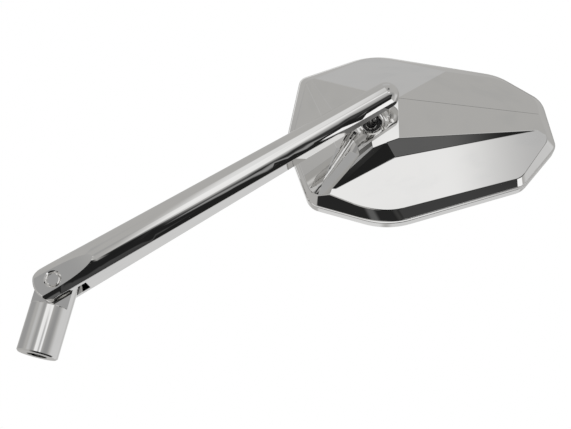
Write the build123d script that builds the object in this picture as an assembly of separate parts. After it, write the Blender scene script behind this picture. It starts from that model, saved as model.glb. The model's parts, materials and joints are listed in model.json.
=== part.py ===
"""Motorcycle mirror: a threaded post, a folding tapered stem and a faceted head on a ball joint.

Millimetres. The origin is the centre of the post's foot, at the mouth of its threaded hole. Z runs
up the post, Y is the pivot pin's axis, and the mirror glass faces +Y.
"""
import os
from math import atan2, cos, degrees, hypot, radians, sin, sqrt

from build123d import *

# Post
POST_DIA = 18.0
POST_EDGE = 0.6             # chamfer round the foot
THREAD_DRILL_DIA = 8.75     # wall of an M10 x 1.25 hole, thread not modelled
THREAD_DEPTH = 16.0
PIVOT_HEIGHT = 32.0         # foot to pivot axis
TONGUE_THICK = 7.0
SHOULDER_GAP = 0.5          # fork end to the post's shoulders
SHOULDER_EDGE = 0.4         # chamfer of the shoulders

# Pivot
BARREL_DIA = 5.8
BARREL_EDGE = 0.4
BARREL_RECESS = 0.5         # barrel end below the cheek's face
RING_DIA = 7.8              # countersunk ring round the barrel
RING_DEPTH = 1.2
PIVOT_FIT = 0.06            # radial running clearance in the tongue
PRESS_FIT = 0.02            # radial room of a pressed or screwed piece
FRICTION_WASHER_DIA = 15.0
FRICTION_WASHER_THICK = 0.5
WASHER_GAP = 0.05           # flat faces of the fork and its washers
SCREW_DIA = 4.0
SCREW_HEAD_DIA = 7.0
SCREW_HEAD_HEIGHT = 2.4
SCREW_KEY = 2.5             # hexagon across flats
SCREW_KEY_DEPTH = 1.3
LOCK_WASHER_THICK = 0.8
LOCK_WASHER_SPLIT = 1.0
LOCK_WASHER_SLANT = 40.0    # degrees, lean of the split
BARREL_WALL = 2.2           # blind end of the barrel's thread

# Stem
STEM_ANGLE = 43.2           # above the X axis, at rest
STEM_LENGTH = 169.0         # pivot to the centre of the rounded tip
STEM_ROOT_DIA = 19.6
STEM_TIP_DIA = 12.0
FLAT_ROOT_DROP = 7.3        # underside below the axis, at the pivot
FLAT_TIP_DROP = 5.6         # underside below the axis, at the tip
FLAT_EDGE = 0.5             # rounding of the underside's edges
FORK_REACH = 8.9            # pivot to the fork's rounded end
FORK_EDGE = 0.8             # rounding of that end
CHEEK_WIDTH = 17.4          # across the flats of the fork
CHEEK_REACH = 4.0           # flats' straight run past the pivot
CHEEK_RUNOUT = 180.0        # radius at which the flats run out
SLOT_REACH = 11.2           # pivot to the end of the fork's slot

# Ball joint
STUD_FROM_TIP = 7.6         # stud to the centre of the stem's rounded tip
STUD_SEAT = 4.6             # stem axis to the flange's seat
STUD_FLANGE_DIA = 8.4
STUD_FLANGE_THICK = 2.0
STUD_SHANK_DIA = 5.0
STUD_SHANK_LENGTH = 6.0
NECK_DIA = 5.0
BALL_DIA = 9.0
BALL_DEPTH = 25.5           # stem axis to ball centre, along Y
SEAT_THICK = 1.1
SEAT_FIT = 0.1              # room on both sides of the plastic seats
SEAT_SPLIT = 8.0            # degrees from the equator to each seat's edge
UPPER_SEAT_TOP = 47.0       # degrees, latitude of the upper seat's mouth
LOWER_SEAT_END = 62.0       # degrees, latitude of the lower seat's drain
SOCKET_MOUTH_DIA = 9.0
CUP_FIT = 0.1
CUP_FLOOR = 0.8
CUP_LIP = 0.3               # cup's edge below the ball's equator
SPRING_DIA = 11.0
SPRING_BORE = 5.5
SPRING_THICK = 0.5
SPRING_CONE = 0.5
PLATE_THICK = 1.5
PLATE_MARGIN = 4.0          # plate edge past the screw centres
PLATE_SCREW_RADIUS = 13.5
PLATE_SCREW_COUNT = 3
PLATE_SCREW_TURN = 20.0     # degrees, first screw from the head's long axis
PLATE_SCREW_DIA = 3.0
PLATE_HEAD_DIA = 5.6
PLATE_HEAD_HEIGHT = 1.3     # countersunk
PLATE_KEY = 2.0             # hexagon across flats
PLATE_KEY_DEPTH = 0.8
PLATE_SCREW_LENGTH = 7.0
SCREW_BOSS_DIA = 7.0

# Head: u runs along it, v across it and w backwards, from the centre of the front plane
HEAD_ROLL = 9.9             # long axis above X
BALL_U = -23.9
BALL_V = 7.5
BALL_TO_FRONT = 12.5
# Outline, anticlockwise from the inner end: u, v and corner radius
OUTLINE = [
    (-64.8, 0.2, 10.0),
    (-52.4, -31.6, 9.0),
    (-15.3, -41.6, 38.0),
    (47.5, -21.0, 10.0),
    (63.7, -0.4, 6.0),
    (57.7, 24.1, 12.0),
    (36.9, 37.4, 28.0),
    (-24.5, 48.1, 38.0),
    (-59.3, 34.5, 5.0),
]
# Degrees, lean of the bevel along the edge that follows each corner
BEVEL_ANGLES = [15.0, 27.5, 43.0, 36.0, 33.0, 31.0, 37.0, 36.0, 32.0]
RIM_FRONT_INSET = 2.5       # rim at the front plane, inside its widest line
RIM_BULGE = 3.0             # front plane to the rim's widest line
RIM_BACK = 8.5              # front plane to the back of the rim
RIM_EDGE = 0.3
INNER_CORNER = 0.8          # smallest corner radius inside the outline
LEDGE = 0.5                 # step between the rim and the bevel
WALL = 2.4
GLASS_THICK = 2.5
GLASS_SET_BACK = 0.4
GLASS_GAP = 0.3
GLASS_EDGE = 0.4
TAPE_THICK = 0.8
TAPE_WIDTH = 2.6
RIM_WALL = 2.2              # rim's wall at the front plane

# Facets of the shell's back, by the points where they meet (u, v, w)
CROWN = (-11.7, 16.8, 25.0)         # top of the shell
TOP_BREAK = (12.5, 36.3, 15.8)      # upper edge, where the two top facets meet
INNER_TOP = (-52.6, 31.1, 16.2)
OUTER_RIDGE = (56.1, 13.6, 15.7)    # outer end of the ridge below the top facets
OUTER_BROW = (54.0, 5.4, 15.5)      # outer end of the brow over the lower facet, where it runs out
RIDGE_FOOT = (-10.9, -3.1, 23.6)    # foot of the ridge from the crown, on the brow
BROW_TOP = (-14.6, -3.8, 23.4)      # corner of the brow, on the land beside the pocket
BROW_FOOT = (-12.4, -10.4, 17.8)    # the same corner on the lower facet
LOWER_EDGE = (-11.8, -35.3, 13.5)   # lower facet, at its lowest corner
INNER_FOOT = (-43.8, -28.6, 17.1)   # inner end of the lower facet
LAND_EDGE = (-23.5, -5.0, 22.9)     # land beside the pocket, where the rib falls away
RIB_SIDE = (-43.8, 0.0, 20.0)       # rib between the brow and the valley
RIB_HEAD = (-30.0, -4.2, 20.5)      # valley's lower wall, at the pocket
BRACE = (-42.8, 13.5, 18.6)         # inner upper facet, over the valley
VALLEY_TOP = (-54.9, 27.0, 14.5)
VALLEY_FOOT = (-48.5, -30.3, 14.5)
VALLEY_HEAD = (-35.8, -0.2, 17.0)
VALLEY_UPPER = (-48.1, 12.3, 15.3)  # valley floor, at the foot of its upper wall
VALLEY_LOWER = (-40.8, -7.6, 16.1)  # valley floor, at the foot of its lower wall
GROOVE_ROOT = (-31.0, 1.0, 19.0)    # trough from the pocket down to the inner corner
GROOVE_TIP = (-49.3, -27.5, 15.4)
GROOVE_ROOT_DIA = 7.6
GROOVE_TIP_DIA = 0.8
RIB_CHAMFER = 0.45                  # depth of the chamfer on the rib's edge
BLANK_MARGIN = 4.0                  # block past the outline, before its sides are cut
RIDGE_ROUND = 0.7                   # rounding of the ridges between facets
VALLEY_ROUND = 0.8                  # rounding of the hollows between facets
POCKET_DIA = 18.0
POCKET_FLOOR_EDGE = 1.4
LIP_DIA = 13.2              # raised ring round the socket's mouth
LIP_HEIGHT = 0.9
LIP_LEAN = 0.7              # sides of that ring, drawn in towards its top
WEB_THICK = 0.8             # socket's top web at its mouth

SPAN = 400.0                # larger than the whole part
SLANT = 0.3                 # rise of an edge that counts as slanted
ON_FACE = 1e-4              # distance that counts as on a face


def direction(angle):
    """Unit vector in the XZ plane, at an angle above X."""
    return Vector(cos(radians(angle)), 0, sin(radians(angle)))


def square_to(vector):
    """Vector in the XZ plane turned a quarter turn, from X towards Z."""
    return Vector(-vector.Z, 0, vector.X)


ALONG = direction(STEM_ANGLE)
PIVOT = Vector(0, 0, PIVOT_HEIGHT)
STEM_FRAME = Plane(PIVOT, x_dir=ALONG, z_dir=square_to(ALONG))
STUD_REACH = STEM_LENGTH - STUD_FROM_TIP
BALL = PIVOT + ALONG * STUD_REACH + Vector(0, BALL_DEPTH, 0)
HEAD_U = direction(HEAD_ROLL)
HEAD_V = square_to(HEAD_U)
HEAD_CENTRE = BALL - HEAD_U * BALL_U - HEAD_V * BALL_V + Vector(0, BALL_TO_FRONT, 0)
HEAD_FRAME = Plane(HEAD_CENTRE, x_dir=HEAD_U, z_dir=(0, -1, 0))
BALL_FRAME = Plane(BALL, x_dir=HEAD_U, z_dir=(0, -1, 0))

FORK_RADIUS = STEM_ROOT_DIA / 2
FORK_CENTRE = FORK_RADIUS - FORK_REACH
SLOT_WIDTH = TONGUE_THICK + 2 * (FRICTION_WASHER_THICK + WASHER_GAP)
SHOULDER = PIVOT_HEIGHT - hypot(FORK_RADIUS, FORK_CENTRE) - SHOULDER_GAP
SEAT_INNER = BALL_DIA / 2 + SEAT_FIT
SEAT_OUTER = SEAT_INNER + SEAT_THICK
SOCKET_RADIUS = SEAT_OUTER + SEAT_FIT
SOCKET_BORE = SOCKET_RADIUS + CUP_FLOOR + CUP_FIT
WEB_TOP = sqrt(SOCKET_RADIUS**2 - (SOCKET_MOUTH_DIA / 2) ** 2) + WEB_THICK
CUP_BACK = SOCKET_RADIUS + CUP_FLOOR
PLATE_BACK = CUP_BACK + SPRING_THICK + SPRING_CONE
GLASS_POCKET_INSET = RIM_FRONT_INSET + RIM_WALL
TAPE_INSET = GLASS_POCKET_INSET + GLASS_GAP
TAPE_SEAT = GLASS_SET_BACK + GLASS_THICK + TAPE_THICK


def pin(radius, start, end):
    """Cylinder about the local Y axis, from one depth to another."""
    return Pos(0, (start + end) / 2, 0) * Rot(90, 0, 0) * Cylinder(radius, end - start)


def disc(radius, low, high):
    """Cylinder about the local Z axis, from one height to another."""
    return Pos(0, 0, (low + high) / 2) * Cylinder(radius, high - low)


def slab(low, high):
    """Box between two corners."""
    size = [b - a for a, b in zip(low, high)]
    middle = [(a + b) / 2 for a, b in zip(low, high)]
    return Pos(*middle) * Box(*size)


def half_space(plane):
    """Everything on the normal's side of a plane."""
    return plane * Pos(0, 0, SPAN / 2) * Box(SPAN, SPAN, SPAN)


def make_post():
    """Round post with a tongue for the fork and a threaded hole in its foot."""
    half = TONGUE_THICK / 2
    post = disc(POST_DIA / 2, 0, PIVOT_HEIGHT)
    post = chamfer(post.edges().group_by(Axis.Z)[0], POST_EDGE)
    crown = Pos(PIVOT) * pin(POST_DIA / 2, -half, half)
    post += crown & disc(POST_DIA / 2, 0, SPAN)
    for side in (-1, 1):
        near, far = sorted((side * half, side * POST_DIA))
        post -= slab((-POST_DIA, near, SHOULDER), (POST_DIA, far, SPAN))
    shoulder = Plane((0, 0, SHOULDER))
    arcs = post.edges().filter_by(GeomType.CIRCLE).filter_by(lambda e: on_plane(e, shoulder))
    post = chamfer(arcs, SHOULDER_EDGE)
    post -= Pos(PIVOT) * pin(BARREL_DIA / 2 + PIVOT_FIT, -POST_DIA, POST_DIA)
    return post - disc(THREAD_DRILL_DIA / 2, 0, THREAD_DEPTH)


def make_stem():
    """Tapered round arm: flat underside, forked root, rounded tip and a seat for the ball stud."""
    root = FORK_RADIUS
    tip = STEM_TIP_DIA / 2
    profile = Polyline((STEM_LENGTH + tip, 0), (-root, 0), (-root, root), (0, root), (STEM_LENGTH, tip))
    nose = RadiusArc((STEM_LENGTH, tip), (STEM_LENGTH + tip, 0), tip)
    section = Plane.XZ * make_face([profile, nose])
    stem = revolve(section, Axis.X)
    end = pin(root, -CHEEK_WIDTH / 2, CHEEK_WIDTH / 2)
    end = Pos(FORK_CENTRE, 0, 0) * fillet(end.edges().filter_by(GeomType.CIRCLE), FORK_EDGE)
    stem &= end + slab((FORK_CENTRE, -root, -root), (SPAN, root, root))
    slope = Vector(STEM_LENGTH, 0, FLAT_ROOT_DROP - FLAT_TIP_DROP)
    underside = Plane((0, 0, -FLAT_ROOT_DROP), x_dir=slope, z_dir=slope.cross(Vector(0, 1, 0)) * -1)
    stem -= half_space(underside)
    stem = fillet(stem.edges().filter_by(lambda e: on_plane(e, underside)), FLAT_EDGE)
    for side in (-1, 1):
        face = side * CHEEK_WIDTH / 2
        near, far = sorted((face, side * POST_DIA))
        stem -= slab((-POST_DIA, near, -POST_DIA), (CHEEK_REACH, far, POST_DIA))
        stem -= Pos(CHEEK_REACH, face + side * CHEEK_RUNOUT, 0) * Cylinder(CHEEK_RUNOUT, 2 * POST_DIA)
    stem -= slab((-POST_DIA, -SLOT_WIDTH / 2, -POST_DIA), (SLOT_REACH, SLOT_WIDTH / 2, POST_DIA))
    return stem - pivot_holes() - stud_seat()


def on_plane(edge, plane):
    """Whether both ends and the middle of an edge lie on a plane."""
    return all(abs(plane.to_local_coords(edge @ t).Z) < ON_FACE for t in (0, 0.5, 1))


def pivot_holes():
    """Barrel hole and its ring in the front cheek, screw hole and head recess in the rear one."""
    face = CHEEK_WIDTH / 2
    bore = BARREL_DIA / 2 + PRESS_FIT
    ring = Pos(0, -face + RING_DEPTH / 2, 0) * Rot(90, 0, 0) * Cone(bore, RING_DIA / 2, RING_DEPTH)
    holes = pin(bore, -POST_DIA, 0) + ring
    holes += pin(SCREW_DIA / 2 + PRESS_FIT, 0, POST_DIA)
    return holes + pin(SCREW_HEAD_DIA / 2 + 2 * PIVOT_FIT, head_seat(), POST_DIA)


def head_seat():
    """Depth of the screw head's recess floor, along Y."""
    return CHEEK_WIDTH / 2 - SCREW_HEAD_HEIGHT - LOCK_WASHER_THICK


def stud_seat():
    """Spot face and blind hole for the ball stud, on the stem's far side."""
    spot = pin(STUD_FLANGE_DIA / 2 + CUP_FIT, STUD_SEAT, STEM_ROOT_DIA)
    hole = pin(STUD_SHANK_DIA / 2 + PRESS_FIT, STUD_SEAT - STUD_SHANK_LENGTH, STUD_SEAT)
    return Pos(STUD_REACH, 0, 0) * (spot + hole)


def make_barrel():
    """Pin with a chamfered plain end and a blind thread from the far side."""
    start = -CHEEK_WIDTH / 2 + BARREL_RECESS
    end = SLOT_WIDTH / 2
    barrel = pin(BARREL_DIA / 2, start, end)
    barrel = chamfer(barrel.edges().group_by(Axis.Y)[0], BARREL_EDGE)
    return barrel - pin(SCREW_DIA / 2 + PRESS_FIT, start + BARREL_WALL, end)


def make_pivot_screw():
    """Socket-head screw from the far cheek into the barrel."""
    seat = head_seat() + LOCK_WASHER_THICK
    top = seat + SCREW_HEAD_HEIGHT
    tail = -CHEEK_WIDTH / 2 + BARREL_RECESS + 2 * BARREL_WALL
    screw = pin(SCREW_DIA / 2, tail, seat) + pin(SCREW_HEAD_DIA / 2, seat, top)
    key = extrude(RegularPolygon(SCREW_KEY / 2, 6, major_radius=False), SCREW_KEY_DEPTH)
    return screw - Pos(0, top, 0) * Rot(90, 0, 0) * key


def ring(outer, inner, low, high):
    """Flat ring about the local Z axis."""
    return disc(outer, low, high) - disc(inner, low, high)


def split_washer(outer, inner, thick):
    """Spring lock washer: a ring with a slanted split."""
    cut = Pos(outer, 0, 0) * Rot(LOCK_WASHER_SLANT, 0, 0) * Box(2 * outer, LOCK_WASHER_SPLIT, SPAN)
    return ring(outer, inner, 0, thick) - cut


def make_pivot_washers():
    """Friction washers beside the tongue, and the lock washer under the screw's head."""
    lie_flat = Rot(-90, 0, 0)
    inner = BARREL_DIA / 2 + PIVOT_FIT
    plain = ring(FRICTION_WASHER_DIA / 2, inner, 0, FRICTION_WASHER_THICK)
    half = TONGUE_THICK / 2
    lock = split_washer(SCREW_HEAD_DIA / 2, SCREW_DIA / 2 + PIVOT_FIT, LOCK_WASHER_THICK)
    front = Pos(0, -half - FRICTION_WASHER_THICK, 0) * lie_flat * plain
    rear = Pos(0, half, 0) * lie_flat * plain
    return front, rear, Pos(0, head_seat(), 0) * lie_flat * lock


def make_ball_stud():
    """Ball, neck, flange and shank, turned in one piece, in the ball's frame."""
    seat = BALL_DEPTH - STUD_SEAT - LOCK_WASHER_THICK
    stud = Sphere(BALL_DIA / 2) + disc(NECK_DIA / 2, 0, seat)
    stud += disc(STUD_FLANGE_DIA / 2, seat - STUD_FLANGE_THICK, seat)
    length = LOCK_WASHER_THICK + STUD_SHANK_LENGTH - 2 * CUP_FIT
    return stud + disc(STUD_SHANK_DIA / 2, seat, seat + length)


def make_stud_washer():
    """Lock washer between the stud's flange and the stem, in the ball's frame."""
    washer = split_washer(STUD_FLANGE_DIA / 2, STUD_SHANK_DIA / 2 + PIVOT_FIT, LOCK_WASHER_THICK)
    return Pos(0, 0, BALL_DEPTH - STUD_SEAT - LOCK_WASHER_THICK) * washer


def seat_zone(low, high):
    """Spherical shell between two latitudes, in degrees, cut by cones from the ball's centre."""
    inner = CenterArc((0, 0), SEAT_INNER, low, high - low)
    outer = CenterArc((0, 0), SEAT_OUTER, low, high - low)
    ends = [Line(inner @ t, outer @ t) for t in (0, 1)]
    return revolve(Plane.XZ * make_face([inner, outer, *ends]), Axis.Z)


def offset_corners(inset):
    """Outline corners moved inwards, with the straight edges kept parallel."""
    count = len(OUTLINE)
    points = []
    for i in range(count):
        before, here, after = OUTLINE[i - 1], OUTLINE[i], OUTLINE[(i + 1) % count]
        first = inward_normal(before, here)
        second = inward_normal(here, after)
        share = inset / (1 + first.dot(second))
        points.append(Vector(here[0], here[1]) + (first + second) * share)
    return points


def inward_normal(start, end):
    """Unit normal of an anticlockwise edge, pointing inside."""
    run, rise = end[0] - start[0], end[1] - start[1]
    length = hypot(run, rise)
    return Vector(-rise / length, run / length)


def outline_face(inset):
    """Rounded outline of the head, moved inwards, as a face on the front plane."""
    radii = [max(corner[2] - inset, INNER_CORNER) for corner in OUTLINE]
    return make_face(FilletPolyline(*offset_corners(inset), radius=radii, close=True))


def prism(inset, low, high):
    """Straight prism on the rounded outline."""
    return Pos(0, 0, low) * extrude(outline_face(inset), high - low)


def facet(a, b, c):
    """Plane through three points, with its normal pointing backwards (+w)."""
    normal = (Vector(b) - Vector(a)).cross(Vector(c) - Vector(a))
    if normal.Z < 0:
        normal = normal * -1
    return Plane(a, z_dir=normal)


def wall_plane(a, b, c, inside):
    """Plane through three points, with its normal pointing towards a fourth."""
    normal = (Vector(b) - Vector(a)).cross(Vector(c) - Vector(a))
    if normal.dot(Vector(inside) - Vector(a)) < 0:
        normal = normal * -1
    return Plane(a, z_dir=normal)


def bevelled_block(inset, foot):
    """Block from a foot height up, with a sloping side along each edge and rounded corners."""
    blank = make_face(Polyline(*offset_corners(-BLANK_MARGIN), close=True))
    block = Pos(0, 0, foot) * extrude(blank, CROWN[2] - min(inset, 0) - foot)
    for here, after, angle in zip(OUTLINE, OUTLINE[1:] + OUTLINE[:1], BEVEL_ANGLES):
        inward = inward_normal(here, after)
        start = Vector(here[0], here[1], RIM_BACK) + inward * LEDGE
        side = Plane(start, z_dir=inward * -cos(radians(angle)) + Vector(0, 0, sin(radians(angle))))
        block -= half_space(side.offset(-inset))
    for corner in OUTLINE:
        point = Vector(corner[0], corner[1], foot)
        edges = block.edges().filter_by(lambda e: abs(e.tangent_at(0).Z) > SLANT)
        edge = min(edges, key=lambda e: (e.position_at(0 if e.tangent_at(0).Z > 0 else 1) - point).length)
        block = fillet(edge, max(corner[2] - LEDGE - inset, INNER_CORNER))
    return block


def gem(inset, foot):
    """Faceted back of the shell with sharp edges, moved inwards by an inset."""
    body = bevelled_block(inset, foot)
    tops = [
        facet(CROWN, TOP_BREAK, OUTER_RIDGE),
        facet(CROWN, TOP_BREAK, INNER_TOP),
        facet(CROWN, RIDGE_FOOT, OUTER_BROW),
        facet(CROWN, INNER_TOP, BRACE),
        facet(CROWN, RIDGE_FOOT, LAND_EDGE),
        rib_plane(),
    ]
    for plane in tops:
        body -= half_space(plane.offset(-inset))
    valley = [
        facet(VALLEY_TOP, VALLEY_FOOT, VALLEY_HEAD),
        wall_plane(VALLEY_TOP, VALLEY_UPPER, BRACE, VALLEY_FOOT),
        wall_plane(VALLEY_FOOT, VALLEY_LOWER, RIB_HEAD, VALLEY_TOP),
    ]
    return body - notch([*brow_planes(), steep_plane()], inset) - notch(valley, inset)


def rib_plane():
    """Facet between the brow and the valley."""
    return facet(LAND_EDGE, RIB_SIDE, INNER_FOOT)


def brow_planes():
    """Lower facet, and the wall of the brow over it."""
    lower = facet(LOWER_EDGE, BROW_FOOT, OUTER_BROW)
    return [lower, wall_plane(RIDGE_FOOT, BROW_FOOT, OUTER_BROW, LOWER_EDGE)]


def steep_plane():
    """Steep wall between the rib and the lower facet."""
    return wall_plane(BROW_TOP, BROW_FOOT, INNER_FOOT, LOWER_EDGE)


def rounded_gem():
    """Faceted back with rounded edges: grown and shrunk for the hollows, then again for the ridges."""
    grown = gem(-VALLEY_ROUND, RIM_BACK - LEDGE - VALLEY_ROUND)
    shrunk = offset(grown, -VALLEY_ROUND - RIDGE_ROUND, kind=Kind.ARC)
    return offset(shrunk, RIDGE_ROUND, kind=Kind.ARC)


def notch(planes, inset):
    """Space between three planes, on the side that their normals point to."""
    first, second, third = [half_space(plane.offset(-inset)) for plane in planes]
    return first & second & third


def make_rim():
    """Stepped rim: widest behind the front plane, drawn in towards the glass."""
    slope = degrees(atan2(RIM_FRONT_INSET, RIM_BULGE))
    front = Pos(0, 0, RIM_BULGE) * extrude(outline_face(0), RIM_BULGE, dir=(0, 0, -1), taper=slope)
    back = prism(0, RIM_BULGE, RIM_BACK)
    return front + fillet(back.edges().group_by(Axis.Z)[-1], RIM_EDGE)


def rib_chamfer():
    """Chamfer along the edge between the rib and its steep wall."""
    middle = Plane(INNER_FOOT, z_dir=rib_plane().z_dir + steep_plane().z_dir)
    return notch([*brow_planes(), middle.offset(-RIB_CHAMFER)], 0)


def groove(room):
    """Tapered trough from the pocket to the inner corner, or with some room the wall round it."""
    along = Vector(GROOVE_TIP) - Vector(GROOVE_ROOT)
    trough = Cone(GROOVE_ROOT_DIA / 2 + room, GROOVE_TIP_DIA / 2 + room, along.length)
    return Plane(GROOVE_ROOT, z_dir=along) * Pos(0, 0, along.length / 2) * trough


def ball_pocket():
    """Round pocket over the socket, with a sloping foot and a raised lip round the mouth."""
    pocket = disc(POCKET_DIA / 2, WEB_TOP, SPAN)
    pocket = chamfer(pocket.edges().group_by(Axis.Z)[0], POCKET_FLOOR_EDGE)
    lip = Cone(LIP_DIA / 2, LIP_DIA / 2 - LIP_LEAN, LIP_HEIGHT) - Cone(
        SOCKET_MOUTH_DIA / 2, SOCKET_MOUTH_DIA / 2 + LIP_LEAN, LIP_HEIGHT
    )
    return pocket - Pos(0, 0, WEB_TOP + LIP_HEIGHT / 2) * lip


def make_shell():
    """Cast shell: rim, faceted back, ball socket, screw bosses and the seat for the glass."""
    socket = Pos(BALL_U, BALL_V, BALL_TO_FRONT)
    body = make_rim() + rounded_gem() - rib_chamfer() - groove(0) - socket * ball_pocket()
    core = disc(POCKET_DIA / 2 + WALL, -PLATE_BACK, SPAN)
    for place in plate_screw_places():
        core += place * disc(SCREW_BOSS_DIA / 2, -PLATE_BACK, SPAN)
    ledge = TAPE_INSET + TAPE_WIDTH
    room = prism(ledge, TAPE_SEAT, RIM_BACK) + (prism(ledge, RIM_BACK, CROWN[2]) & gem(WALL, RIM_BACK))
    body -= room - socket * core - groove(WALL)
    body -= prism(GLASS_POCKET_INSET, 0, TAPE_SEAT)
    cut = Sphere(SOCKET_RADIUS) + disc(SOCKET_BORE, -PLATE_BACK, 0)
    cut += disc(SOCKET_MOUTH_DIA / 2, 0, WEB_TOP)
    for place in plate_screw_places():
        cut += place * disc(PLATE_SCREW_DIA / 2 + PRESS_FIT, -PLATE_BACK, PLATE_SCREW_LENGTH - PLATE_BACK)
    return body - socket * cut


def plate_screw_places():
    """Places of the clamp plate's screws, in the ball's frame."""
    return [
        Rot(0, 0, PLATE_SCREW_TURN + i * 360 / PLATE_SCREW_COUNT) * Pos(PLATE_SCREW_RADIUS, 0, 0)
        for i in range(PLATE_SCREW_COUNT)
    ]


def make_cup():
    """Cup that presses the lower seat, sliding in the socket's bore."""
    return disc(SOCKET_BORE - CUP_FIT, -CUP_BACK, -CUP_LIP) - Sphere(SOCKET_RADIUS)


def make_spring():
    """Disc spring: a coned washer between the cup and the clamp plate."""
    inner, outer = SPRING_BORE / 2, SPRING_DIA / 2
    top, low = -CUP_BACK, -CUP_BACK - SPRING_CONE
    corners = [(inner, top), (outer, low), (outer, low - SPRING_THICK), (inner, top - SPRING_THICK)]
    return revolve(Plane.XZ * make_face(Polyline(*corners, close=True)), Axis.Z)


def make_plate():
    """Clamp plate with rounded corners and countersunk holes."""
    corner = PLATE_SCREW_RADIUS + PLATE_MARGIN / cos(radians(180 / PLATE_SCREW_COUNT))
    outline = RegularPolygon(corner, PLATE_SCREW_COUNT)
    outline = fillet(outline.vertices(), PLATE_MARGIN)
    front = -PLATE_BACK - PLATE_THICK
    plate = Pos(0, 0, front) * Rot(0, 0, PLATE_SCREW_TURN) * extrude(outline, PLATE_THICK)
    for place in plate_screw_places():
        plate -= place * plate_screw_body(PRESS_FIT)
    return plate


def plate_screw_body(room):
    """Countersunk head and shank, or with some room the hole for them."""
    front = -PLATE_BACK - PLATE_THICK
    head, shank = PLATE_HEAD_DIA / 2 + room, PLATE_SCREW_DIA / 2 + room
    cone = Pos(0, 0, front + PLATE_HEAD_HEIGHT / 2) * Cone(head, shank, PLATE_HEAD_HEIGHT)
    return cone + disc(shank, front, front + PLATE_SCREW_LENGTH)


def make_plate_screw():
    """Countersunk screw with a hexagon socket."""
    key = extrude(RegularPolygon(PLATE_KEY / 2, 6, major_radius=False), PLATE_KEY_DEPTH)
    return plate_screw_body(0) - Pos(0, 0, -PLATE_BACK - PLATE_THICK) * key


def make_glass():
    """Mirror glass, with its front edge ground."""
    glass = prism(TAPE_INSET, GLASS_SET_BACK, GLASS_SET_BACK + GLASS_THICK)
    return chamfer(glass.edges().group_by(Axis.Z)[0], GLASS_EDGE)


def make_tape():
    """Foam tape ring between the glass and its ledge."""
    low, high = GLASS_SET_BACK + GLASS_THICK, TAPE_SEAT
    return prism(TAPE_INSET, low, high) - prism(TAPE_INSET + TAPE_WIDTH, low, high)


def save(name, shape):
    """Write one node."""
    export_step(shape, os.path.join("parts", name + ".step"))


def main():
    """Build and write every node."""
    os.makedirs("parts", exist_ok=True)
    save("base_post", make_post())
    save("stem", STEM_FRAME * make_stem())
    save("pivot_barrel", STEM_FRAME * make_barrel())
    save("pivot_screw", STEM_FRAME * make_pivot_screw())
    front, rear, lock = make_pivot_washers()
    save("friction_washer_front", Pos(PIVOT) * front)
    save("friction_washer_rear", Pos(PIVOT) * rear)
    save("pivot_lock_washer", STEM_FRAME * lock)
    save("ball_stud", BALL_FRAME * make_ball_stud())
    save("stud_lock_washer", BALL_FRAME * make_stud_washer())
    save("upper_seat", BALL_FRAME * seat_zone(SEAT_SPLIT, UPPER_SEAT_TOP))
    save("lower_seat", BALL_FRAME * seat_zone(-LOWER_SEAT_END, -SEAT_SPLIT))
    save("pressure_cup", BALL_FRAME * make_cup())
    save("disc_spring", BALL_FRAME * make_spring())
    save("clamp_plate", BALL_FRAME * make_plate())
    for number, place in enumerate(plate_screw_places(), 1):
        save(f"clamp_screw_{number}", BALL_FRAME * place * make_plate_screw())
    save("glass_tape", HEAD_FRAME * make_tape())
    save("mirror_glass", HEAD_FRAME * make_glass())
    save("mirror_shell", HEAD_FRAME * make_shell())


if __name__ == "__main__":
    main()
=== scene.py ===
"""Finishes, studio and camera for a chrome motorcycle mirror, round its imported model.

Metres. The post's foot is the origin, Z runs up the post and the mirror glass faces +Y.
"""

import json
import logging
import math
from collections.abc import Iterator
from contextlib import contextmanager
from dataclasses import dataclass, field
from enum import Enum
from functools import cache
from typing import Union

import bpy
from mathutils import Euler, Matrix, Vector


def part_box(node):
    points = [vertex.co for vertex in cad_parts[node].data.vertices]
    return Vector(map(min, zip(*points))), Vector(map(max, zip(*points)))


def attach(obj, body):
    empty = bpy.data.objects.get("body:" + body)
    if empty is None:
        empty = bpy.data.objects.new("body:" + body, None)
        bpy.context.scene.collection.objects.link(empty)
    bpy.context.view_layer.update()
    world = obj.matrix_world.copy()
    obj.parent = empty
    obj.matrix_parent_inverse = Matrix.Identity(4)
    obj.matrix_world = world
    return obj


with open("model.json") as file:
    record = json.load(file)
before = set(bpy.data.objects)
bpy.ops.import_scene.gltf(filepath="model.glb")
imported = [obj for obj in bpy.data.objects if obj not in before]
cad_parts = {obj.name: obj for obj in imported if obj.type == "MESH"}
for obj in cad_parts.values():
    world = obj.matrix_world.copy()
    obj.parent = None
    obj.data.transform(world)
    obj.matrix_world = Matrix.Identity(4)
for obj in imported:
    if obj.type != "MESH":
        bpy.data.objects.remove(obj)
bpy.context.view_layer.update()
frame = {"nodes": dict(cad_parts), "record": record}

MM = 0.001
IMAGE_WIDTH = 571
QUARTER_TURN = math.radians(90)
log = logging.getLogger("mirror")

Colour = tuple[float, float, float]
Point = tuple[float, float, float]
Socket = bpy.types.NodeSocket
Feed = Union[Socket, float, tuple]


class Axis(Enum):
    """Directions that turned pieces and their tool marks run round."""

    POST = (0.0, 0.0, 1.0)
    PIVOT = (0.0, 1.0, 0.0)


class SocketKind(Enum):
    """Kinds of socket on the shared effects."""

    NUMBER = "NodeSocketFloat"
    VECTOR = "NodeSocketVector"


def grey(level: float) -> Colour:
    """Neutral colour of one level."""
    return (level, level, level)


def opaque(colour: Colour) -> tuple[float, float, float, float]:
    """Colour with full cover, as a colour socket takes it."""
    return (*colour, 1.0)


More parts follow.
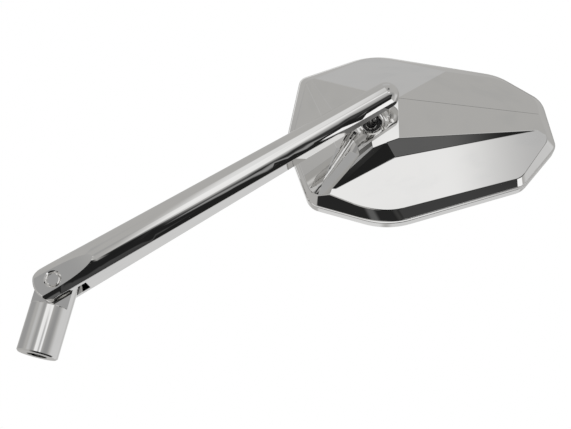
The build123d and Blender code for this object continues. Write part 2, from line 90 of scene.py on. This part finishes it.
class NodeBoard:
    """Short calls for laying nodes on a tree and wiring them."""

    def __init__(self, tree: bpy.types.NodeTree) -> None:
        """Keep the tree that the nodes go on."""
        self.tree = tree

    def add(self, kind: str, feeds: dict[Union[str, int], Feed], **settings: object) -> bpy.types.Node:
        """Lay one node.

        Args:
            kind: Blender's name of the node type.
            feeds: a number, colour or socket for each input, by name or place.
            settings: properties of the node, such as its operation.

        Returns:
            The new node.
        """
        node = self.tree.nodes.new(kind)
        for key, value in settings.items():
            setattr(node, key, value)
        for key, value in feeds.items():
            self.feed(node.inputs[key], value)
        return node

    def feed(self, socket: Socket, value: Feed) -> None:
        """Join a socket to another one, or set its own value.

        Args:
            socket: the input.
            value: the socket to join, or the value to set.
        """
        if isinstance(value, bpy.types.NodeSocket):
            self.tree.links.new(value, socket)
        else:
            socket.default_value = value

    def math(self, operation: str, *feeds: Feed) -> Socket:
        """Result of a Math node."""
        return self.add("ShaderNodeMath", dict(enumerate(feeds)), operation=operation).outputs[0]

    def vector(self, operation: str, *feeds: Feed) -> Socket:
        """Result of a Vector Math node, a number for dot products and lengths."""
        node = self.add("ShaderNodeVectorMath", dict(enumerate(feeds)), operation=operation)
        return node.outputs["Value" if operation in ("DOT_PRODUCT", "LENGTH") else "Vector"]

    def noise(self, place: Socket, scale: Feed, detail: float) -> Socket:
        """Level of a Noise Texture node."""
        feeds = {"Vector": place, "Scale": scale, "Detail": detail}
        return self.add("ShaderNodeTexNoise", feeds).outputs[0]

    def bump(self, height: Socket, depth: Feed, strength: float) -> Socket:
        """Normal of a Bump node."""
        feeds = {"Height": height, "Distance": depth, "Strength": strength}
        return self.add("ShaderNodeBump", feeds).outputs["Normal"]

    def fade(self, value: Feed, start: float, end: float, low: Feed = 0.0, high: Feed = 1.0) -> Socket:
        """Smooth step of a value between two limits.

        Args:
            value: what is measured.
            start: where the result leaves the low value.
            end: where the result reaches the high value.
            low: result below the start.
            high: result past the end.

        Returns:
            The eased result.
        """
        feeds = {"Value": value, "From Min": start, "From Max": end, "To Min": low, "To Max": high}
        return self.add("ShaderNodeMapRange", feeds, interpolation_type="SMOOTHSTEP").outputs["Result"]

    def blend(self, share: Feed, first: Feed, second: Feed) -> Socket:
        """Mix of two colours.

        Args:
            share: how much of the second colour shows.
            first: the colour at a share of 0.
            second: the colour at a share of 1.

        Returns:
            The mixed colour.
        """
        node = self.add("ShaderNodeMix", {"Factor": share}, data_type="RGBA")
        colours = [socket for socket in node.inputs if socket.type == "RGBA"]
        for socket, value in zip(colours, (first, second)):
            self.feed(socket, value)
        return next(socket for socket in node.outputs if socket.type == "RGBA")


class EffectGroup:
    """A shader node group in the making, with the board that its nodes go on."""

    def __init__(self, name: str, inputs: dict[str, SocketKind], outputs: dict[str, SocketKind]) -> None:
        """Make a group with its sockets and its place on the object.

        Args:
            name: the group's name.
            inputs: kind of each input. The materials set their values.
            outputs: kind of each output.
        """
        self.tree = bpy.data.node_groups.new(name, "ShaderNodeTree")
        for side, sockets in (("INPUT", inputs), ("OUTPUT", outputs)):
            for key, kind in sockets.items():
                self.tree.interface.new_socket(key, in_out=side, socket_type=kind.value)
        self.board = NodeBoard(self.tree)
        self.entry = self.board.add("NodeGroupInput", {}).outputs
        self.leave = self.board.add("NodeGroupOutput", {}).inputs
        self.place = self.board.add("ShaderNodeTexCoord", {}).outputs["Object"]

    def give(self, **values: Socket) -> None:
        """Join the group's outputs, by name."""
        for key, value in values.items():
            self.board.feed(self.leave[key], value)


class Effects:
    """Shader node groups that several finishes share, each built once."""

    WAVE_DETAIL = 1.0
    WAVE_STRENGTH = 1.0
    STREAK_DETAIL = 4.0
    STREAK_LIMITS = (0.42, 0.68)
    PATCHES_PER_METRE = 55.0
    PATCH_DETAIL = 2.0
    PATCH_LIMITS = (0.4, 0.62)
    CHATTER_PER_METRE = 900.0
    CHATTER_DETAIL = 3.0
    RING_DEPTH = 6e-6
    RING_STRENGTH = 0.6
    CLOUDS_PER_METRE = 220.0
    CLOUD_DETAIL = 4.0
    GRAIN_EDGE = 0.7
    GRAIN_LOW = 0.2
    GRAIN_STRENGTH = 0.7

    @staticmethod
    @cache
    def ripple() -> bpy.types.NodeTree:
        """Slow waves of a polished and plated surface, as a normal.

        Returns:
            The group.
        """
        inputs = {"Waves per metre": SocketKind.NUMBER, "Depth": SocketKind.NUMBER}
        group = EffectGroup("surface_ripple", inputs, {"Normal": SocketKind.VECTOR})
        waves = group.board.noise(group.place, group.entry["Waves per metre"], Effects.WAVE_DETAIL)
        group.give(Normal=group.board.bump(waves, group.entry["Depth"], Effects.WAVE_STRENGTH))
        return group.tree

    @staticmethod
    @cache
    def streaks() -> bpy.types.NodeTree:
        """Long faint marks left by wiping or polishing, as a mask.

        Returns:
            The group.
        """
        inputs = {"Stretch": SocketKind.VECTOR, "Share": SocketKind.NUMBER}
        group = EffectGroup("wiped_streaks", inputs, {"Mask": SocketKind.NUMBER})
        board = group.board
        drawn = board.add("ShaderNodeMapping", {"Vector": group.place, "Scale": group.entry["Stretch"]})
        fine = board.noise(drawn.outputs[0], 1.0, Effects.STREAK_DETAIL)
        patches = board.noise(group.place, Effects.PATCHES_PER_METRE, Effects.PATCH_DETAIL)
        marks = board.fade(fine, *Effects.STREAK_LIMITS)
        mask = board.math("MULTIPLY", marks, board.fade(patches, *Effects.PATCH_LIMITS))
        group.give(Mask=board.math("MULTIPLY", mask, group.entry["Share"]))
        return group.tree

    @staticmethod
    @cache
    def turned() -> bpy.types.NodeTree:
        """Fine rings of a lathe tool round an axis, as a mask and a normal.

        Returns:
            The group.
        """
        inputs = {
            "Centre": SocketKind.VECTOR,
            "Axis": SocketKind.VECTOR,
            "Rings per metre": SocketKind.NUMBER,
        }
        outputs = {"Mask": SocketKind.NUMBER, "Normal": SocketKind.VECTOR}
        group = EffectGroup("turned_rings", inputs, outputs)
        board = group.board
        away = board.vector("SUBTRACT", group.place, group.entry["Centre"])
        radius = board.vector("LENGTH", board.vector("CROSS_PRODUCT", away, group.entry["Axis"]))
        turns = board.math("MULTIPLY", radius, group.entry["Rings per metre"])
        wave = board.math("SINE", board.math("MULTIPLY", turns, math.tau))
        chatter = board.noise(group.place, Effects.CHATTER_PER_METRE, Effects.CHATTER_DETAIL)
        mask = board.math("MULTIPLY", board.math("MULTIPLY_ADD", wave, 0.5, 0.5), chatter)
        group.give(Mask=mask, Normal=board.bump(mask, Effects.RING_DEPTH, Effects.RING_STRENGTH))
        return group.tree

    @staticmethod
    @cache
    def grain() -> bpy.types.NodeTree:
        """Fine moulded or foamed grain, as a mask and a normal.

        Returns:
            The group.
        """
        inputs = {"Grains per metre": SocketKind.NUMBER, "Depth": SocketKind.NUMBER}
        outputs = {"Mask": SocketKind.NUMBER, "Normal": SocketKind.VECTOR}
        group = EffectGroup("fine_grain", inputs, outputs)
        board = group.board
        feeds = {"Vector": group.place, "Scale": group.entry["Grains per metre"]}
        cells = board.add("ShaderNodeTexVoronoi", feeds).outputs["Distance"]
        grains = board.fade(cells, 0.0, Effects.GRAIN_EDGE, Effects.GRAIN_LOW, 1.0)
        clouds = board.noise(group.place, Effects.CLOUDS_PER_METRE, Effects.CLOUD_DETAIL)
        mask = board.math("MULTIPLY", grains, clouds)
        group.give(Mask=mask, Normal=board.bump(mask, group.entry["Depth"], Effects.GRAIN_STRENGTH))
        return group.tree


class Paintwork:
    """A material with one surface shader and its board of nodes."""

    def __init__(self, name: str) -> None:
        """Start a material with its surface shader and output.

        Args:
            name: the material's name.
        """
        self.material = bpy.data.materials.new(name)
        self.material.use_nodes = True
        tree = self.material.node_tree
        tree.nodes.clear()
        self.board = NodeBoard(tree)
        self.surface = self.board.add("ShaderNodeBsdfPrincipled", {})
        self.board.add("ShaderNodeOutputMaterial", {"Surface": self.surface.outputs[0]})

    def set(self, **values: Feed) -> None:
        """Set or join the surface shader's sockets, with _ for a space in their names."""
        for key, value in values.items():
            self.board.feed(self.surface.inputs[key.replace("_", " ")], value)

    def effect(self, tree: bpy.types.NodeTree, **values: Feed) -> bpy.types.bpy_prop_collection:
        """Outputs of a shared effect, placed with values for its inputs, with _ for a space."""
        feeds = {key.replace("_", " "): value for key, value in values.items()}
        return self.board.add("ShaderNodeGroup", feeds, node_tree=tree).outputs

    def vary(self, mask: Socket, colours: tuple[Colour, Colour], roughness: tuple[float, float]) -> None:
        """Let the colour and the roughness follow a mask.

        Args:
            mask: a share over the surface.
            colours: the colours at a mask of 0 and of 1.
            roughness: the roughness at a mask of 0 and of 1.
        """
        first, second = colours
        self.set(Base_Color=self.board.blend(mask, opaque(first), opaque(second)))
        self.set(Roughness=self.board.fade(mask, 0.0, 1.0, *roughness))


@dataclass(frozen=True)
class ChromePlate:
    """Polished chrome: a bright mirror with slow waves and a few wiped streaks."""

    name: str = "chrome_plate"
    clear: Colour = (0.84, 0.835, 0.825)
    hazed: Colour = (0.79, 0.79, 0.785)
    smooth: float = 0.025
    wiped: float = 0.07
    waves: float = 70.0
    depth: float = 3e-6
    stretch: Point = (60.0, 500.0, 60.0)
    streaked: float = 0.6

    def material(self) -> bpy.types.Material:
        """Build the finish.

        Returns:
            The material.
        """
        paint = Paintwork(self.name)
        marks = paint.effect(Effects.streaks(), Stretch=self.stretch, Share=self.streaked)["Mask"]
        waves = paint.effect(Effects.ripple(), Waves_per_metre=self.waves, Depth=self.depth)["Normal"]
        paint.set(Metallic=1.0, Normal=waves)
        paint.vary(marks, (self.clear, self.hazed), (self.smooth, self.wiped))
        return paint.material


@dataclass(frozen=True)
class TurnedSteel:
    """Bright zinc-plated steel with lathe rings round its own axis."""

    name: str
    centre: Point
    axis: Axis
    light: Colour = (0.62, 0.62, 0.61)
    dark: Colour = (0.44, 0.44, 0.44)
    rings: float = 4500.0
    smooth: float = 0.18
    rough: float = 0.34

    def material(self) -> bpy.types.Material:
        """Build the finish.

        Returns:
            The material.
        """
        paint = Paintwork(self.name)
        rings = paint.effect(
            Effects.turned(), Centre=self.centre, Axis=self.axis.value, Rings_per_metre=self.rings
        )
        paint.set(Metallic=1.0, Normal=rings["Normal"])
        paint.vary(rings["Mask"], (self.light, self.dark), (self.smooth, self.rough))
        return paint.material


@dataclass(frozen=True)
class MouldedPlastic:
    """Moulded plastic or foam with a fine grain and a cloudy colour."""

    name: str
    light: Colour
    dark: Colour
    grains: float = 4000.0
    depth: float = 1e-5
    smooth: float = 0.35
    rough: float = 0.55

    def material(self) -> bpy.types.Material:
        """Build the finish.

        Returns:
            The material.
        """
        paint = Paintwork(self.name)
        grain = paint.effect(Effects.grain(), Grains_per_metre=self.grains, Depth=self.depth)
        paint.set(Normal=grain["Normal"])
        paint.vary(grain["Mask"], (self.dark, self.light), (self.rough, self.smooth))
        return paint.material


@dataclass(frozen=True)
class ClearGlass:
    """Float glass with a faint green body, wiped clean."""

    name: str = "mirror_pane"
    clear: Colour = (0.97, 0.985, 0.975)
    tinted: Colour = (0.93, 0.965, 0.95)
    smooth: float = 0.0
    wiped: float = 0.02
    stretch: Point = (90.0, 90.0, 30.0)
    streaked: float = 0.5
    refraction: float = 1.52

    def material(self) -> bpy.types.Material:
        """Build the finish.

        Returns:
            The material.
        """
        paint = Paintwork(self.name)
        marks = paint.effect(Effects.streaks(), Stretch=self.stretch, Share=self.streaked)["Mask"]
        paint.set(Metallic=0.0, Transmission_Weight=1.0, IOR=self.refraction)
        paint.vary(marks, (self.clear, self.tinted), (self.smooth, self.wiped))
        return paint.material


def deselect() -> None:
    """Leave edit mode with nothing selected."""
    if bpy.context.object and bpy.context.object.mode != "OBJECT":
        bpy.ops.object.mode_set(mode="OBJECT")
    bpy.ops.object.select_all(action="DESELECT")


def activate(piece: bpy.types.Object) -> None:
    """Select one object alone and make it the active one.

    Args:
        piece: the object.
    """
    deselect()
    piece.select_set(True)
    bpy.context.view_layer.objects.active = piece


@contextmanager
def editing(piece: bpy.types.Object) -> Iterator[None]:
    """Edit mode on one mesh, for the lines of a with block.

    Args:
        piece: the mesh object.

    Yields:
        None, while edit mode lasts.
    """
    activate(piece)
    bpy.ops.object.mode_set(mode="EDIT")
    yield
    bpy.ops.object.mode_set(mode="OBJECT")


def apply_modifier(piece: bpy.types.Object, kind: str, **settings: object) -> None:
    """Add a modifier, set it and apply it.

    Args:
        piece: the mesh object.
        kind: Blender's name of the modifier type.
        settings: the modifier's properties.
    """
    modifier = piece.modifiers.new(kind.lower(), kind)
    for key, value in settings.items():
        setattr(modifier, key, value)
    activate(piece)
    bpy.ops.object.modifier_apply(modifier=modifier.name)


def dress(material: bpy.types.Material, *nodes: str) -> None:
    """Give CAD nodes their finish.

    Args:
        material: the finish.
        nodes: the nodes' names.
    """
    for node in nodes:
        piece = frame["nodes"][node]
        for slot in piece.material_slots:
            slot.material = material
        if not piece.material_slots:
            piece.data.materials.append(material)
        log.info("dressed %s in %s", node, material.name)


@dataclass
class Post:
    """Round post with its threaded hole."""

    pitch: float = 1.25 * MM
    ridge_height: float = 0.42 * MM
    ridge_foot: float = 1.0 * MM
    ridge_crest: float = 0.2 * MM
    first_turn: float = 1.0 * MM
    turns: int = 11
    steps: int = 48
    merge_gap: float = 1e-7
    smooth_angle: float = math.radians(40)
    tool_rings: float = 9000.0
    body: str = "base"

    def build(self, chrome: bpy.types.Material) -> None:
        """Cut the thread and dress the post.

        Args:
            chrome: finish of the post.
        """
        dress(chrome, "base_post")
        mounts = frame["record"]["mounts"]
        hole = next(mount for mount in mounts if mount["name"] == "post_thread")
        thread = self.thread(hole["dims"]["r_mm"] * MM)
        steel = TurnedSteel("cut_thread", (0.0, 0.0, 0.0), Axis.POST, rings=self.tool_rings)
        thread.data.materials.append(steel.material())
        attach(thread, self.body)
        log.info("built %s on %s", thread.name, self.body)

    def thread(self, bore: float) -> bpy.types.Object:
        """Helical ridge on the wall of the hole.

        Args:
            bore: radius of the hole's wall.

        Returns:
            The ridge, as a mesh in place.
        """
        deselect()
        middle = (bore - self.ridge_height / 2, 0.0, self.first_turn)
        bpy.ops.mesh.primitive_plane_add(size=1.0, location=middle, rotation=(QUARTER_TURN, 0.0, 0.0))
        ridge = bpy.context.object
        ridge.name = "post_thread"
        ridge.scale = (self.ridge_height, self.ridge_foot, 1.0)
        bpy.ops.object.transform_apply(location=True, rotation=True, scale=True)
        for vertex in ridge.data.vertices:
            vertex.select = vertex.co.x < middle[0]
        narrow = (1.0, 1.0, self.ridge_crest / self.ridge_foot)
        with editing(ridge):
            bpy.ops.mesh.select_mode(type="VERT")
            bpy.ops.transform.resize(value=narrow, center_override=middle)
        apply_modifier(
            ridge, "SCREW", axis="Z", angle=math.tau, screw_offset=self.pitch,
            iterations=self.turns, steps=self.steps, render_steps=self.steps, use_merge_vertices=True,
        )
        self.close(ridge)
        return ridge

    def close(self, ridge: bpy.types.Object) -> None:
        """Close the ends of a swept ridge and turn its faces outwards.

        Args:
            ridge: the swept mesh.
        """
        with editing(ridge):
            bpy.ops.mesh.select_all(action="SELECT")
            bpy.ops.mesh.remove_doubles(threshold=self.merge_gap)
            bpy.ops.mesh.select_all(action="DESELECT")
            bpy.ops.mesh.select_non_manifold()
            bpy.ops.mesh.fill()
            bpy.ops.mesh.select_all(action="SELECT")
            bpy.ops.mesh.normals_make_consistent(inside=False)
        bpy.ops.object.shade_smooth_by_angle(angle=self.smooth_angle)


@dataclass
class Stem:
    """Tapered arm with its pivot's barrel, screw and washers."""

    pivot: Point = (0.0, 0.0, 32.0 * MM)

    def build(self, chrome: bpy.types.Material) -> None:
        """Dress the stem and its pivot.

        Args:
            chrome: finish of the stem and the barrel.
        """
        dress(chrome, "stem", "pivot_barrel")
        steel = TurnedSteel("pivot_steel", self.pivot, Axis.PIVOT)
        dress(steel.material(), "pivot_screw", "pivot_lock_washer")
        nylon = MouldedPlastic("friction_washer", light=(0.62, 0.61, 0.57), dark=(0.5, 0.49, 0.46))
        dress(nylon.material(), "friction_washer_front", "friction_washer_rear")


@dataclass
class BallJoint:
    """Ball stud with its seats, cup, spring and clamp plate."""

    screws: int = 3

    def build(self) -> None:
        """Dress the joint's pieces, each turned round the stud."""
        low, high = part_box("ball_stud")
        middle = tuple((low + high) / 2)
        bright = TurnedSteel(
            "stud_steel", middle, Axis.PIVOT, light=(0.74, 0.74, 0.73), dark=(0.6, 0.6, 0.6), smooth=0.08
        )
        dress(bright.material(), "ball_stud")
        plain = TurnedSteel("joint_steel", middle, Axis.PIVOT)
        screws = [f"clamp_screw_{number}" for number in range(1, self.screws + 1)]
        dress(plain.material(), "stud_lock_washer", "pressure_cup", "disc_spring", "clamp_plate", *screws)
        seat = MouldedPlastic("ball_seat", light=(0.07, 0.07, 0.072), dark=(0.03, 0.03, 0.032))
        dress(seat.material(), "upper_seat", "lower_seat")


@dataclass
class MirrorHead:
    """Faceted shell with its foam tape and silvered glass."""

    coat_inset: float = 0.1 * MM
    coat_depth: float = 0.05 * MM
    coat_thick: float = 0.03 * MM
    merge_gap: float = 1e-6
    flat_angle: float = math.radians(1)
    body: str = "head"

    def build(self, chrome: bpy.types.Material) -> None:
        """Dress the head and lay the silver behind the glass.

        Args:
            chrome: finish of the shell.
        """
        dress(chrome, "mirror_shell")
        foam = MouldedPlastic(
            "foam_tape", light=(0.05, 0.05, 0.05), dark=(0.02, 0.02, 0.02),
            grains=2500.0, depth=6e-5, smooth=0.7, rough=0.9,
        )
        dress(foam.material(), "glass_tape")
        dress(ClearGlass().material(), "mirror_glass")
        coat = self.silver_coat()
        silver = ChromePlate(
            "silver_coat", clear=(0.93, 0.93, 0.925), hazed=(0.91, 0.91, 0.91),
            smooth=0.0, wiped=0.012, waves=25.0, depth=8e-7,
        )
        coat.data.materials.append(silver.material())
        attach(coat, self.body)
        log.info("built %s on %s", coat.name, self.body)

    def silver_coat(self) -> bpy.types.Object:
        """Thin sheet just inside the back face of the glass.

        Returns:
            The sheet, as a mesh in place.
        """
        glass = frame["nodes"]["mirror_glass"]
        coat = bpy.data.objects.new("silver_coat", glass.data.copy())
        coat.data.materials.clear()
        bpy.context.scene.collection.objects.link(coat)
        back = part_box("mirror_glass")[0].y
        with editing(coat):
            bpy.ops.mesh.select_all(action="SELECT")
            bpy.ops.mesh.remove_doubles(threshold=self.merge_gap)
            bpy.ops.mesh.select_mode(type="FACE")
            bpy.ops.mesh.select_all(action="DESELECT")
        for face in coat.data.polygons:
            face.select = abs(face.center.y - back) > self.coat_depth
        with editing(coat):
            bpy.ops.mesh.delete(type="FACE")
            bpy.ops.mesh.select_all(action="SELECT")
            bpy.ops.mesh.dissolve_limited(angle_limit=self.flat_angle)
            bpy.ops.mesh.select_all(action="SELECT")
            bpy.ops.mesh.inset(thickness=self.coat_inset, depth=0.0)
            bpy.ops.mesh.select_all(action="INVERT")
            bpy.ops.mesh.delete(type="FACE")
            bpy.ops.mesh.select_all(action="SELECT")
            bpy.ops.transform.translate(value=(0.0, self.coat_depth, 0.0))
        apply_modifier(coat, "SOLIDIFY", thickness=self.coat_thick, offset=0.0)
        return coat


@dataclass(frozen=True)
class Card:
    """Light or dark board of the studio, as the chrome shows it.

    Its centre is in degrees to the right of the camera and above it, as seen from the mirror. Its half
    size, the softness of its edges and its lean are in degrees too.
    """

    name: str
    centre: tuple[float, float]
    half: tuple[float, float]
    softness: float
    glow: float
    lean: float = 0.0


@dataclass
class Studio:
    """Pale floor, soft lamp, white surround and the boards that the chrome shows."""

    facing: Euler
    surround: Colour = (0.47, 0.465, 0.455)
    backdrop: Colour = (0.86, 0.86, 0.855)
    backdrop_from: float = 152.0
    backdrop_full: float = 178.0
    daylight: float = 0.85
    floor_height: float = -80.0 * MM
    floor_half: float = 2.0
    floor_divisions: int = 8
    floor_colours: tuple[Colour, Colour] = ((0.82, 0.82, 0.815), (0.86, 0.86, 0.855))
    floor_grains: float = 60.0
    floor_roughness: float = 0.8
    lamp_place: Point = (-0.3, -0.5, 1.1)
    lamp_size: float = 0.9
    lamp_power: float = 6.0
    # A later board lies over an earlier one.
    cards: list[Card] = field(default_factory=lambda: [
        Card("ceiling", (8.0, 104.0), (30.0, 12.0), 10.0, 0.535),
        Card("ridge_shade", (20.0, 53.0), (7.0, 9.0), 4.0, 0.12),
        Card("left_shade", (-105.0, 25.0), (28.0, 32.0), 12.0, 0.36),
        Card("left_top", (-47.0, 56.0), (10.0, 12.0), 6.0, 0.41),
        Card("left_glow", (-44.0, 30.0), (9.0, 8.0), 6.0, 0.58),
        Card("left_gap", (-20.0, 31.0), (7.0, 7.0), 4.0, 0.37),
        Card("left_low", (-31.5, 13.0), (5.5, 5.5), 1.5, 0.98),
        Card("right_shade", (52.0, 5.0), (16.0, 14.0), 10.0, 0.33),
        Card("right_glow", (108.0, -30.0), (28.0, 40.0), 12.0, 0.68),
        Card("pale_below", (75.0, -122.0), (50.0, 28.0), 8.0, 0.68),
        Card("rim_floor", (-20.0, -144.0), (30.0, 8.0), 8.0, 0.75),
        Card("dark_below", (0.0, -79.0), (46.0, 23.0), 5.0, 0.022),
        Card("below_patch", (-13.0, -75.0), (5.0, 4.0), 3.0, 0.12),
        Card("low_side", (36.0, -75.0), (9.0, 13.0), 3.0, 0.55),
        Card("dark_front", (24.0, -28.0), (26.0, 31.0), 4.0, 0.016),
        Card("below_right", (28.0, -52.0), (9.0, 4.0), 2.0, 0.055),
        Card("side_panel", (62.2, -56.5), (12.0, 24.3), 0.9, 1.05, 45.0),
        Card("floor_glint", (17.5, -38.5), (5.5, 5.0), 2.0, 0.12),
        Card("dim_front", (22.0, -29.0), (5.0, 2.5), 2.0, 0.06),
        Card("dim_side", (35.0, -13.0), (5.0, 6.0), 5.0, 0.06),
        Card("front_glow", (20.0, 4.0), (7.0, 4.0), 11.0, 0.38),
        Card("dark_edge", (7.0, 1.0), (3.5, 13.0), 2.5, 0.015, 27.0),
        Card("bounce", (20.0, 19.0), (9.0, 7.0), 4.0, 0.54),
        Card("window_bridge", (16.0, 25.2), (6.0, 1.4), 1.0, 1.0, -17.0),
        Card("side_window", (25.0, 21.0), (4.5, 5.0), 3.0, 1.0),
        Card("softbox_upper", (-9.0, 50.0), (7.5, 18.0), 4.0, 0.84, 27.0),
        Card("softbox_left", (-1.0, 27.0), (5.0, 12.0), 3.0, 0.97, 27.0),
        Card("softbox_right", (7.2, 22.0), (4.6, 12.0), 3.0, 0.94, 6.0),
        Card("slit", (27.0, -17.0), (1.6, 15.0), 1.2, 0.3, 45.0),
    ])

    def build(self) -> None:
        """Lay the floor, hang the lamp and set the surround."""
        self.floor()
        self.lamp()
        self.world()

    def floor(self) -> None:
        """Flat pale floor, well below the mirror."""
        deselect()
        bpy.ops.mesh.primitive_grid_add(
            x_subdivisions=self.floor_divisions, y_subdivisions=self.floor_divisions,
            size=2 * self.floor_half, location=(0.0, 0.0, self.floor_height),
        )
        floor = bpy.context.object
        floor.name = "studio_floor"
        bpy.ops.object.transform_apply(location=True)
        paint = Paintwork("pale_floor")
        grain = paint.effect(Effects.grain(), Grains_per_metre=self.floor_grains)["Mask"]
        dark, light = self.floor_colours
        paint.set(Base_Color=paint.board.blend(grain, opaque(dark), opaque(light)))
        paint.set(Roughness=self.floor_roughness)
        floor.data.materials.append(paint.material)
        floor.visible_glossy = False
        log.info("laid %s", floor.name)

    def lamp(self) -> None:
        """Soft lamp above the mirror, for its shadow on the floor."""
        light = bpy.data.lights.new("soft_lamp", "AREA")
        light.size = self.lamp_size
        light.energy = self.lamp_power
        lamp = bpy.data.objects.new("soft_lamp", light)
        lamp.location = self.lamp_place
        lamp.rotation_euler = (-Vector(self.lamp_place)).to_track_quat("-Z", "Y").to_euler()
        lamp.visible_glossy = False
        bpy.context.scene.collection.objects.link(lamp)

    def world(self) -> None:
        """White surround, with the studio's boards for the chrome to show."""
        world = bpy.data.worlds.new("studio")
        bpy.context.scene.world = world
        world.use_nodes = True
        world.cycles.sampling_method = "NONE"
        tree = world.node_tree
        tree.nodes.clear()
        board = NodeBoard(tree)
        angle, place = self.directions(board)
        behind = board.fade(angle, self.backdrop_from, self.backdrop_full)
        colour = board.blend(behind, opaque(self.surround), opaque(self.backdrop))
        for card in self.cards:
            mask = self.card_mask(board, place, card)
            colour = board.blend(mask, colour, opaque(grey(card.glow)))
        ray = board.add("ShaderNodeLightPath", {}).outputs
        plain = board.blend(ray["Is Camera Ray"], opaque(grey(self.daylight)), opaque(grey(1.0)))
        seen = board.blend(ray["Is Glossy Ray"], plain, colour)
        sky = board.add("ShaderNodeBackground", {"Color": seen, "Strength": 1.0})
        board.add("ShaderNodeOutputWorld", {"Surface": sky.outputs[0]})

    def directions(self, board: NodeBoard) -> tuple[Socket, Socket]:
        """Directions round the mirror, measured from the camera's side.

        Args:
            board: the world's nodes.

        Returns:
            The angle from the camera's side and the place on a flat map, both in degrees.
        """
        turn = self.facing.to_matrix()
        ray = board.add("ShaderNodeTexCoord", {}).outputs["Generated"]
        right, up, near = [board.vector("DOT_PRODUCT", ray, tuple(turn.col[i])) for i in range(3)]
        angle = board.math("DEGREES", board.math("ARCCOSINE", near))
        flat = board.add("ShaderNodeCombineXYZ", {"X": right, "Y": up}).outputs[0]
        heading = board.vector("NORMALIZE", flat)
        spread = board.add("ShaderNodeCombineXYZ", {"X": angle, "Y": angle}).outputs[0]
        return angle, board.vector("MULTIPLY", heading, spread)

    @staticmethod
    def card_mask(board: NodeBoard, place: Socket, card: Card) -> Socket:
        """Soft mask of one board.

        Args:
            board: the world's nodes.
            place: place on the flat map of directions.
            card: the board.

        Returns:
            Its mask, 1 inside.
        """
        away = board.vector("SUBTRACT", place, (*card.centre, 0.0))
        feeds = {"Vector": away, "Angle": math.radians(-card.lean)}
        turned = board.add("ShaderNodeVectorRotate", feeds, rotation_type="Z_AXIS").outputs[0]
        parts = board.add("ShaderNodeSeparateXYZ", {0: board.vector("ABSOLUTE", turned)}).outputs
        sides = [
            board.fade(part, half - card.softness, half + card.softness, 1.0, 0.0)
            for part, half in zip((parts["X"], parts["Y"]), card.half)
        ]
        return board.math("MULTIPLY", *sides)


@dataclass
class PhotoCamera:
    """Camera at the photograph's place, in degrees and metres."""

    place: Point = (0.14978, -0.41453, -0.05227)
    turn: Point = (108.32, -12.48, 4.03)
    focal_pixels: float = 1000.0
    sensor_width: float = 36.0

    def facing(self) -> Euler:
        """Turn of the camera."""
        return Euler([math.radians(angle) for angle in self.turn])

    def build(self) -> None:
        """Set up the camera and make it the scene's own."""
        lens = bpy.data.cameras.new("photo_camera")
        lens.sensor_fit = "HORIZONTAL"
        lens.sensor_width = self.sensor_width
        lens.lens = self.focal_pixels * self.sensor_width / IMAGE_WIDTH
        camera = bpy.data.objects.new("photo_camera", lens)
        camera.matrix_world = Matrix.Translation(self.place) @ self.facing().to_matrix().to_4x4()
        bpy.context.scene.collection.objects.link(camera)
        bpy.context.scene.camera = camera


def main() -> None:
    """Dress every piece, then set up the studio and the camera."""
    logging.basicConfig(level=logging.INFO, format="%(message)s")
    bpy.context.scene.view_settings.view_transform = "Standard"
    chrome = ChromePlate().material()
    Post().build(chrome)
    Stem().build(chrome)
    BallJoint().build()
    MirrorHead().build(chrome)
    camera = PhotoCamera()
    camera.build()
    Studio(camera.facing()).build()


if __name__ == "__main__":
    main()
